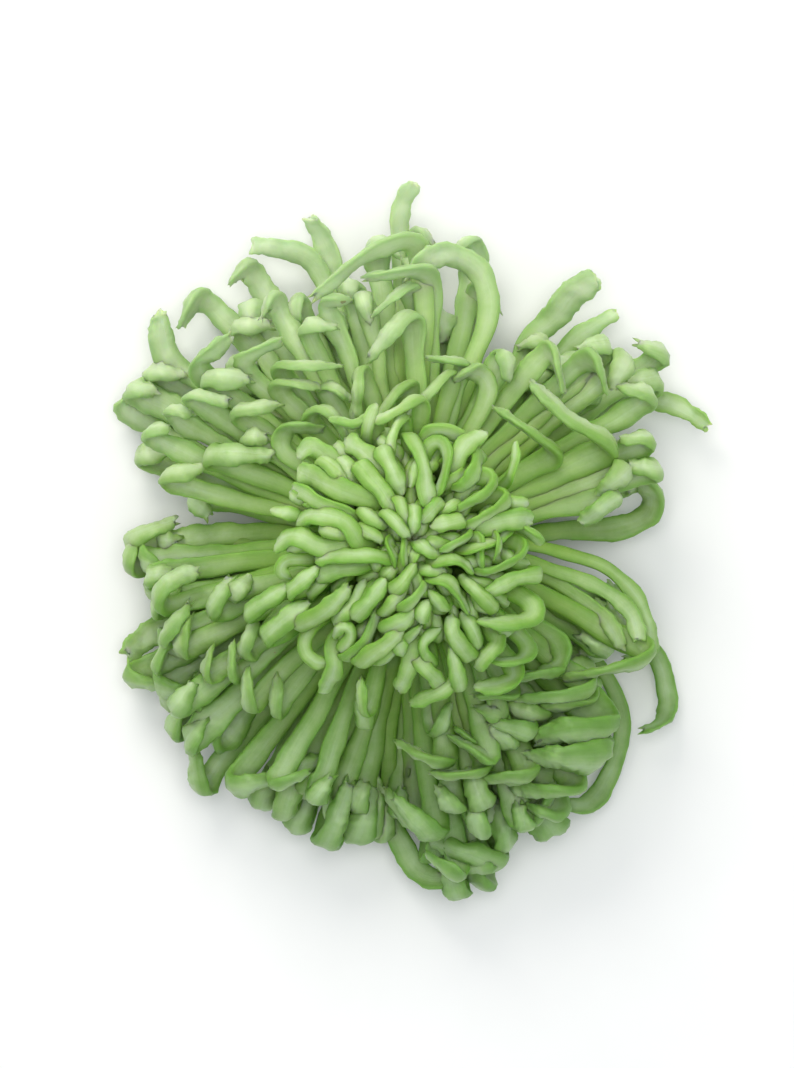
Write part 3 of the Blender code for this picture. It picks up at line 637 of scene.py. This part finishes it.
class Traits:
    """What is drawn at random for one floret's own form."""

    def __init__(self, kind, width, draw):
        self.flatness = draw.uniform(*kind.flatness)
        self.curl = draw.uniform(*kind.curl)
        self.flutter = draw.uniform(*kind.flutter)
        self.flutter_beats = draw.uniform(*FLUTTER_BEATS)
        self.flutter_shift = draw.uniform(0, FULL_TURN)
        self.furrow = draw.uniform(*FURROW_DEPTHS)
        self.furrow_place = draw.uniform(-FURROW_SHIFT, FURROW_SHIFT)
        self.root_roll = draw.uniform(-ROOT_ROLL, ROOT_ROLL)
        self.more_roll = draw.uniform(-TIP_ROLL, TIP_ROLL)
        self.notch = draw.uniform(0, FULL_TURN)
        self.bite = draw.uniform(*BITES) * width * kind.raggedness
        self.rnd = draw.random()


class Florets:
    """Gathers florets into one mesh, with what the material reads at each point."""

    def __init__(self):
        self.points = []
        self.faces = []
        self.marks = []
        self.total = 0

    def add(self, path, width, kind, draw):
        along = 1 - (1 - np.linspace(0, 1, kind.stations))**STATION_CROWDING
        fine = np.linspace(0, 1, len(path))
        path = np.stack([np.interp(along, fine, path[:, k]) for k in range(3)], axis=1)
        half = 0.5 * width * width_share(along, bend_share(path, along), kind)
        loose = np.clip((along - LOOSE_START) / LOOSE_LENGTH, 0, 1)
        for _ in range(SWELLINGS):
            beats = draw.uniform(*SWELLING_BEATS)
            shift = draw.uniform(0, FULL_TURN)
            size = draw.uniform(*SWELLING_SIZES) * (1 + kind.looseness * loose)
            half = half * (1 + size * np.sin(beats * along * math.pi + shift))
        traits = Traits(kind, width, draw)
        turns = np.arange(SIDES) * 2 * math.pi / SIDES
        tangents = np.gradient(path, axis=0)
        tangents /= np.linalg.norm(tangents, axis=1)[:, None]
        rings = self.body_rings(path, tangents, half, along, loose, turns, traits)
        rings += self.tip_rings(rings[-1], tangents[-1], turns, traits)
        self.crumple(rings, along, path, width, traits.rnd)
        self.keep(rings, list(along) + [mark for _, _, mark in TIP_RINGS], turns, traits.rnd)

    def body_rings(self, path, tangents, half, along, loose, turns, traits):
        """Rings of the flattened, furrowed and fluttering tube, which rolls a little as it goes."""
        side = np.cross((0, 0, 1.0), tangents[0])
        x = np.cos(turns)
        dent = traits.furrow * np.exp(-((turns - 1.5 * math.pi - traits.furrow_place) / FURROW_WIDTH)**2)
        rings = []
        for k in range(len(path)):
            side = side - tangents[k] * side.dot(tangents[k])
            side /= np.linalg.norm(side)
            up = np.cross(tangents[k], side)
            roll = traits.root_roll + traits.more_roll * along[k]
            opening = min(1.0, OPENING_RATE * along[k])
            thickness = traits.flatness * (1 + ROOT_ROUNDNESS - ROOT_ROUNDNESS * opening)
            oval = thickness * np.sin(turns) * (1 - dent)
            y = oval + traits.curl * opening * (x * x - CURL_BALANCE)
            beat = math.sin(traits.flutter_beats * 2 * math.pi * along[k] + traits.flutter_shift)
            wave = traits.flutter * loose[k] * beat
            y = y + wave * (x + 0.5 * x * x)
            across = x * math.cos(roll) - y * math.sin(roll)
            above = x * math.sin(roll) + y * math.cos(roll)
            rings.append(path[k] + half[k] * (across[:, None] * side + above[:, None] * up))
        return rings

    def tip_rings(self, lip, ahead, turns, traits):
        """Frays the last ring, and rounds the end off past it."""
        ragged = np.cos(2 * turns + traits.notch) + FINE_FRAY * np.cos(5 * turns + 2 * traits.notch)
        lip += ahead * (0.5 * traits.bite * ragged)[:, None]
        centre = lip.mean(axis=0)
        return [centre + (lip - centre) * share + ahead * distance for share, distance, _ in TIP_RINGS]

    def crumple(self, rings, along, path, width, rnd):
        """Dents and swells on the skin, small on the shaft and larger toward the tip."""
        shift = Vector([step * rnd for step in DENT_SHIFTS])
        for k in range(1, len(along)):
            freedom = max(0.0, (along[k] - CRUMPLE_START) / CRUMPLE_LENGTH)**CRUMPLE_POWER
            depth = width * (CRUMPLE_ON_SHAFT + CRUMPLE_AT_TIP * freedom)
            middle = path[k]
            for corner in range(SIDES):
                place = Vector(rings[k][corner])
                fine_swell = noise.noise(place * FINE_DENTS + shift)
                swell = noise.noise(place * COARSE_DENTS + shift) + FINE_DENT_SHARE * fine_swell
                outward = rings[k][corner] - middle
                rings[k][corner] += outward * (depth * swell / (np.linalg.norm(outward) + DENT_SOFTENING))

    def keep(self, rings, marks, turns, rnd):
        """Adds the rings to the mesh, with a face at each end."""
        for ring, mark in zip(rings, marks):
            self.points.append(ring)
            self.marks.append(np.stack((
                np.full(SIDES, mark), np.cos(turns), np.sin(turns), np.full(SIDES, rnd),
            ), axis=1))
        self.faces += tube_faces(self.total, len(rings), SIDES)
        self.total += len(rings) * SIDES

    def build(self, name, material, node, slot_name):
        points = np.concatenate(self.points)
        points[:, 2] = np.maximum(points[:, 2], LOWEST_POINT)
        marks = np.concatenate(self.marks)
        data = mesh_of(name, points, self.faces)
        for column, label in enumerate(("along", "across", "above", "rnd")):
            attribute = data.attributes.new(label, "FLOAT", "POINT")
            attribute.data.foreach_set("value", marks[:, column].astype(np.float32))
        return finished(name, data, material, node)


def tube_faces(base, rows, sides):
    """Faces of a closed tube whose rings of points follow each other from the point numbered base."""
    faces = []
    for row in range(rows - 1):
        for corner in range(sides):
            after = (corner + 1) % sides
            low, high = base + row * sides, base + (row + 1) * sides
            faces.append((low + corner, low + after, high + after, high + corner))
    last = base + (rows - 1) * sides
    faces.append(tuple(base + corner for corner in reversed(range(sides))))
    faces.append(tuple(last + corner for corner in range(sides)))
    return faces


def mesh_of(name, points, faces):
    data = bpy.data.meshes.new(name)
    data.from_pydata((np.array(points) * MM + OFFSET).tolist(), [], faces)
    return data


def finished(name, data, material, node):
    data.shade_smooth()
    data.materials.append(material)
    piece = bpy.data.objects.new(name, data)
    bpy.context.scene.collection.objects.link(piece)
    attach(piece, "root")
    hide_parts(node)
    return piece


class Nodes:
    """Short calls for the nodes of one material."""

    def __init__(self, name):
        self.material = bpy.data.materials.new(name)
        self.material.use_nodes = True
        self.tree = self.material.node_tree
        self.shader = self.tree.nodes["Principled BSDF"]

    def link(self, source, target):
        self.tree.links.new(source, target)

    def put(self, socket, value):
        if isinstance(value, bpy.types.NodeSocket):
            self.link(value, socket)
        else:
            socket.default_value = value

    def attribute(self, name):
        node = self.tree.nodes.new("ShaderNodeAttribute")
        node.attribute_name = name
        return node.outputs["Fac"]

    def maths(self, operation, a, b=0.0, c=0.0):
        node = self.tree.nodes.new("ShaderNodeMath")
        node.operation = operation
        for socket, value in zip(node.inputs, (a, b, c)):
            self.put(socket, value)
        return node.outputs[0]

    def times(self, a, b):
        return self.maths("MULTIPLY", a, b)

    def line(self, value, slope, start):
        return self.maths("MULTIPLY_ADD", value, slope, start)

    def within(self, value, low, high):
        return self.maths("MINIMUM", self.maths("MAXIMUM", value, low), high)

    def vector(self, x, y, z):
        node = self.tree.nodes.new("ShaderNodeCombineXYZ")
        for socket, value in zip(node.inputs, (x, y, z)):
            self.put(socket, value)
        return node.outputs[0]

    def noise(self, vector, scale, detail=3.0, roughness=0.55):
        node = self.tree.nodes.new("ShaderNodeTexNoise")
        self.link(vector, node.inputs["Vector"])
        node.inputs["Scale"].default_value = scale
        node.inputs["Detail"].default_value = detail
        node.inputs["Roughness"].default_value = roughness
        return node.outputs["Fac"]

    def place(self):
        return self.tree.nodes.new("ShaderNodeTexCoord").outputs["Object"]

    def up_the_face(self):
        """How far up the bloom's face, toward the key light, in metres; painted light and shade follow it.
        """
        node = self.tree.nodes.new("ShaderNodeSeparateXYZ")
        self.link(self.place(), node.inputs[0])
        return self.line(node.outputs[0], -0.15, node.outputs[1])

    def ramp(self, value, *stops):
        node = self.tree.nodes.new("ShaderNodeValToRGB")
        self.link(value, node.inputs[0])
        elements = node.color_ramp.elements
        while len(elements) < len(stops):
            elements.new(0.5)
        for element, (where, colour) in zip(elements, stops):
            element.position = where
            element.color = (*colour, 1)
        return node.outputs["Color"]

    def mix(self, kind, factor, a, b):
        node = self.tree.nodes.new("ShaderNodeMix")
        node.data_type = "RGBA"
        node.blend_type = kind
        self.put(node.inputs["Factor"], factor)
        for name, value in (("A", a), ("B", b)):
            socket = [s for s in node.inputs if s.name == name and s.type == "RGBA"][0]
            self.put(socket, value if isinstance(value, bpy.types.NodeSocket) else (*value, 1))
        return [s for s in node.outputs if s.type == "RGBA"][0]

    def tinted(self, colour, value, tints):
        """The colour multiplied by a ramp of tints over the value."""
        strength, *stops = tints
        return self.mix("MULTIPLY", strength, colour, self.ramp(value, *stops))

    def bump(self, height, strength, distance, normal=None):
        node = self.tree.nodes.new("ShaderNodeBump")
        self.put(node.inputs["Height"], height)
        node.inputs["Strength"].default_value = strength
        node.inputs["Distance"].default_value = distance
        if normal is not None:
            self.link(normal, node.inputs["Normal"])
        return node.outputs[0]

    def scatter(self, weight, radius, scale):
        """Light that passes through the skin."""
        self.shader.inputs["Subsurface Weight"].default_value = weight
        self.shader.inputs["Subsurface Radius"].default_value = radius
        self.shader.inputs["Subsurface Scale"].default_value = scale


def floret_material(name, colours):
    """Waxy petal: deeper green at the root and paler at the hook, partly the floret's own colour and partly
    painted shade toward the root; fine veins along the length; painted light and shade over the face of the
    bloom, and painted highlights on the crests.
    """
    n = Nodes(name)
    along = n.attribute("along")
    across = n.attribute("across")
    rnd = n.attribute("rnd")
    lengthwise = n.vector(across, n.attribute("above"), n.line(rnd, 37.0, n.times(along, 0.8)))
    veins = n.noise(lengthwise, *VEINS)
    broad = n.noise(lengthwise, *BROAD_CLOUDS)
    grain = n.noise(n.place(), *GRAIN)
    patches = n.noise(n.place(), *PATCHES)
    edges = n.maths("ABSOLUTE", across)
    # Grows toward the top of the face, where light is painted, with shade painted lower down
    down = n.line(n.up_the_face(), 10.0, 0.5)
    colour = n.ramp(along, *zip(COLOUR_PLACES, colours))
    colour = n.tinted(colour, veins, VEIN_TINTS)
    colour = n.tinted(colour, patches, PATCH_TINTS)
    # Painted highlight along the middle of each floret and painted shade toward its sides
    colour = n.tinted(colour, edges, EDGE_SHADE_TINTS)
    colour = n.tinted(colour, rnd, OWN_TINTS)
    # Painted light glowing through the shafts near the root
    colour = n.mix("MIX", painted_glow_of_shafts(n, along, down), colour, PAINTED_GLOW_GREEN)
    # Painted light paling the upper florets
    colour = n.mix("MIX", painted_light_on_top(n, along, down), colour, PAINTED_LIGHT_GREEN)
    # Milky mottling with a painted highlight along the crests
    colour = n.mix("MIX", milky_crest_highlight(n, along, edges, broad, patches), colour, MILKY_HIGHLIGHT_GREEN)
    # Painted light toward the top of the face and painted shade toward the bottom
    colour = n.tinted(colour, down, PAINTED_FACE_LIGHT_TINTS)
    spotting = n.maths("ADD", n.noise(n.place(), *SPOTS), n.times(along, 0.05))
    spots = n.maths("GREATER_THAN", spotting, SPOT_LEVEL)
    colour = n.mix("MIX", n.times(spots, SPOT_STRENGTH), colour, SPOT_BROWN)
    n.link(colour, n.shader.inputs["Base Color"])
    n.link(n.line(grain, 0.2, 0.30), n.shader.inputs["Roughness"])
    n.link(n.bump(grain, *GRAIN_BUMP, n.bump(veins, *VEIN_BUMP)), n.shader.inputs["Normal"])
    n.scatter(*PETAL_SCATTER)
    n.shader.inputs["Specular IOR Level"].default_value = 0.4
    return n.material


def painted_glow_of_shafts(n, along, down):
    """Painted light: a glow strongest near the root and up the face, standing in for light that comes
    through the shafts.
    """
    from_root = n.maths("SUBTRACT", 1.0, along)
    return n.times(n.times(from_root, n.within(down, 0.1, 1.0)), 0.6)


def painted_light_on_top(n, along, down):
    """Painted light, strongest on the tips of the florets at the top of the face, toward the key light."""
    up = n.maths("SMOOTH_MIN", n.line(down, 1.6, -1.0), 1.0, 0.2)
    return n.times(n.maths("MAXIMUM", n.times(up, 0.62), 0.0), along)


def milky_crest_highlight(n, along, edges, broad, patches):
    """Cloudy white along the crests of the hooks: milky mottling together with a painted highlight."""
    mottle = n.maths("ADD", n.times(broad, 1.4), n.times(patches, 1.2))
    crest = n.maths("MAXIMUM", n.line(edges, -1.3, 1.0), 0.0)
    outward = n.maths("MAXIMUM", n.line(along, 1.8, -0.6), 0.0)
    milky_highlight = n.times(n.times(crest, outward), n.maths("SUBTRACT", mottle, 0.75))
    return n.within(n.times(milky_highlight, 1.3), 0.0, 0.7)


def green_material(name, greens, roughness, scale):
    """Matt green skin with streaks along the stalk."""
    n = Nodes(name)
    stretch = n.tree.nodes.new("ShaderNodeMapping")
    stretch.inputs["Scale"].default_value = (1.0, 1.0, 0.15)
    n.link(n.place(), stretch.inputs["Vector"])
    streaks = n.noise(stretch.outputs[0], scale, 4.0, 0.6)
    grain = n.noise(n.place(), 1500.0)
    n.link(n.ramp(streaks, *zip((0.3, 0.7), greens)), n.shader.inputs["Base Color"])
    n.link(n.line(grain, 0.2, roughness - 0.1), n.shader.inputs["Roughness"])
    n.link(n.bump(grain, 0.25, 0.0002, n.bump(streaks, 0.4, 0.0004)), n.shader.inputs["Normal"])
    n.scatter(*LEAF_SCATTER)
    return n.material


def turned(name, profile, sides, material, slot_name, rib_depth=0.0):
    """A round body with a profile of radii and heights, its sides ribbed where a depth is given."""
    points = []
    for radius, height in profile:
        for k in range(sides):
            swell = 1 + rib_depth * math.cos(STALK_RIBS * 2 * math.pi * k / sides)
            points.append(polar(360 * k / sides, radius * swell, height))
    data = mesh_of(name, points, tube_faces(0, len(profile), sides))
    piece = finished(name, data, material, slot_name)
    data.set_sharp_from_angle(angle=math.radians(SHARP_ANGLE))
    return piece


def dome(radius, bottom, top):
    profile = [(radius, bottom)]
    for step in range(1, DOME_STEPS + 1):
        turn = DOME_TURN * step / DOME_STEPS
        profile.append((radius * math.cos(turn), bottom + (top - bottom) * math.sin(turn)))
    return profile


def cup_radius(height):
    radii, heights = zip(*CUP_PROFILE)
    return float(np.interp(height, heights, radii))


def bract_side(azimuth, tip_height, length, width, outer):
    """Points of a scale's outer or inner side, in rows from its foot to its tip."""
    points = []
    for i in range(BRACT_STEPS + 1):
        along = i / BRACT_STEPS
        outline = (0.75 + 0.9 * along - 1.6 * along**2.4) * (1 - along**6)
        height = tip_height - length * (1 - along)
        outside = cup_radius(height) + BRACT_LIFT + BRACT_LEAN * along
        half = math.degrees(0.5 * width * max(NARROWEST_BRACT, outline) / outside)
        for j in range(BRACT_COLUMNS + 1):
            side = 2 * j / BRACT_COLUMNS - 1
            keel = BRACT_KEEL * (1 - abs(side)) + BRACT_WAVE * math.cos(3 * math.pi * side)
            depth = keel if outer else -BRACT_THICKNESS * (1 - 0.8 * side * side)
            points.append(polar(azimuth + half * side, outside + depth, height))
    return points


def bract_faces(base):
    """Faces of one closed scale whose outer side starts at the point numbered base."""
    row = BRACT_COLUMNS + 1
    inner = (BRACT_STEPS + 1) * row
    faces = []
    for i in range(BRACT_STEPS):
        for j in range(BRACT_COLUMNS):
            a = base + i * row + j
            b = a + row
            faces.append((a, a + 1, b + 1, b))
            faces.append((a + inner, b + inner, b + inner + 1, a + inner + 1))
    for i in range(BRACT_STEPS):
        for j in (0, BRACT_COLUMNS):
            a = base + i * row + j
            b = a + row
            quad = (a, b, b + inner, a + inner)
            faces.append(quad if j == 0 else quad[::-1])
    for i in (0, BRACT_STEPS):
        for j in range(BRACT_COLUMNS):
            a = base + i * row + j
            quad = (a, a + inner, a + 1 + inner, a + 1)
            faces.append(quad if i == 0 else quad[::-1])
    return faces


def bracts(material):
    """Pointed scales in rows up the cup, each with a keel."""
    points, faces = [], []
    for row, (count, *size) in enumerate(BRACT_ROWS):
        for number in range(count):
            azimuth = 360 * (number + 0.5 * (row % 2)) / count
            faces += bract_faces(len(points))
            points += bract_side(azimuth, *size, outer=True)
            points += bract_side(azimuth, *size, outer=False)
    return finished("bracts", mesh_of("bracts", points, faces), material, "involucre")


def floret_plans(draw):
    """Width, group and path of every floret, before they settle."""
    plans = []

    def add(width, group, knots):
        plans.append((width, group, smooth_path(knots, PATH_POINTS)))

    for row in LOW_WHORL:
        add(row[1], "low", outer_knots(row, draw.uniform(*LOW_HEIGHTS)))
    for row in under_rows(draw):
        add(row[1], "under", outer_knots(row, draw.uniform(*UNDER_HEIGHTS)))
    for row in MIDDLE_WHORL:
        reach = max(point[1] for point in row[2:])
        height = MIDDLE_HEIGHT - MIDDLE_SLOPE * (reach - MIDDLE_REACH)
        add(row[1], "middle", outer_knots(row, height + draw.uniform(-MIDDLE_SCATTER, MIDDLE_SCATTER)))
    for row in CENTRAL_FLORETS:
        lift = draw.uniform(-CENTRAL_SCATTER, CENTRAL_SCATTER)
        add(row[0] * CENTRAL_WIDENING, "central", central_knots(row, lift))
    for number in range(INNER_FINGERS):
        width = draw.uniform(*FINGER_WIDTHS)
        add(width, "inner", finger_knots(number, draw))
    return plans


def make_florets():
    """The meshes of the five groups, with every floret eased apart from its neighbours."""
    draw = random.Random(SEED)
    plans = floret_plans(draw)
    along = np.linspace(0, 1, PATH_POINTS)
    half = np.array([
        0.5 * width * width_share(along, bend_share(path, along), KINDS[group])
        for width, group, path in plans
    ])
    free = np.clip((along - FIXED_ROOT) / ROOT_FADE, 0, 1)
    paths = settle(np.array([path for _, _, path in plans]), half, free)
    groups = {name: Florets() for name in KINDS}
    for (width, group, _), path in zip(plans, paths):
        kind = KINDS[group]
        for _ in range(2):
            ease(path)
        path = wandering(path, kind.wander, draw)
        groups[group].add(smooth_path(path, FINE_PATH_POINTS), width, kind, draw)
    return groups


def look_at(obj, target):
    obj.rotation_euler = (target - obj.location).to_track_quat("-Z", "Y").to_euler()


def area_light(name, place, size, energy, colour):
    data = bpy.data.lights.new(name, "AREA")
    data.shape = "DISK"
    data.size = size
    data.energy = energy
    data.color = colour
    lamp = bpy.data.objects.new(name, data)
    lamp.location = place
    bpy.context.scene.collection.objects.link(lamp)
    look_at(lamp, Vector())


def make_camera(scene):
    camera = bpy.data.objects.new("camera", bpy.data.cameras.new("camera"))
    scene.collection.objects.link(camera)
    data = camera.data
    data.sensor_width = SENSOR
    data.lens = SENSOR * (CAMERA_HEIGHT - SHARP_PLANE) / FRAME_HEIGHT
    data.clip_start = 0.01
    data.clip_end = 10
    eye_right = (EYE_PIXEL[0] / FRAME_PIXELS[0] - 0.5) * FRAME_HEIGHT * FRAME_PIXELS[0] / FRAME_PIXELS[1]
    eye_up = (0.5 - EYE_PIXEL[1] / FRAME_PIXELS[1]) * FRAME_HEIGHT
    camera.location = (OFFSET[0] - eye_right * MM, OFFSET[1] - eye_up * MM, CAMERA_HEIGHT * MM)
    scene.camera = camera


def make_floor(scene):
    mesh = bmesh.new()
    bmesh.ops.create_grid(mesh, x_segments=1, y_segments=1, size=FLOOR_HALF)
    plane = bpy.data.meshes.new("floor")
    mesh.to_mesh(plane)
    mesh.free()
    floor = bpy.data.objects.new("floor", plane)
    scene.collection.objects.link(floor)
    n = Nodes("floor")
    cloudy = n.noise(n.place(), 40.0)
    n.link(n.ramp(cloudy, *zip((0.3, 0.7), FLOOR_GREYS)), n.shader.inputs["Base Color"])
    n.shader.inputs["Roughness"].default_value = 0.7
    plane.materials.append(n.material)


def make_studio():
    scene = bpy.context.scene
    make_camera(scene)
    world = bpy.data.worlds.new("studio")
    world.use_nodes = True
    background = world.node_tree.nodes["Background"]
    background.inputs["Color"].default_value = SKY_COLOUR
    background.inputs["Strength"].default_value = SKY_STRENGTH
    scene.world = world
    for light in LIGHTS:
        area_light(*light)
    make_floor(scene)
    scene.view_settings.view_transform = "Standard"


def main():
    make_studio()
    outer = floret_material("outer_florets", OUTER_COLOURS)
    centre = floret_material("central_florets", CENTRAL_COLOURS)
    leafy = green_material("involucre", LEAF_GREENS, 0.6, 900.0)
    woody = green_material("stalk", STALK_GREENS, 0.6, 1200.0)
    groups = make_florets()
    for name in ("low", "under", "middle"):
        groups[name].build(name + "_florets", outer, "outer_florets", "outer_florets")
    for name in ("central", "inner"):
        groups[name].build(name + "_fingers", centre, "central_florets", "central_florets")
    outer_core = [(OUTER_CORE_RADIUS - 1, OUTER_CORE_BOTTOM), (OUTER_CORE_RADIUS, OUTER_CORE_TOP)]
    turned("outer_bases", outer_core, ROUND_SIDES, centre, "outer_florets")
    central_core = dome(CENTRAL_CORE_RADIUS, CENTRAL_CORE_BOTTOM, CENTRAL_CORE_TOP)
    turned("central_bases", central_core, ROUND_SIDES, centre, "central_florets")
    turned("cup", CUP_PROFILE, ROUND_SIDES, leafy, "involucre")
    bracts(leafy)
    stalk = [(STALK_RADIUS * STALK_FOOT_SHARE, 0), (STALK_RADIUS, 1.0), (STALK_RADIUS, STALK_TOP)]
    turned("cut_stalk", stalk, STALK_SIDES, woody, "stalk", STALK_RIB_DEPTH)


main()
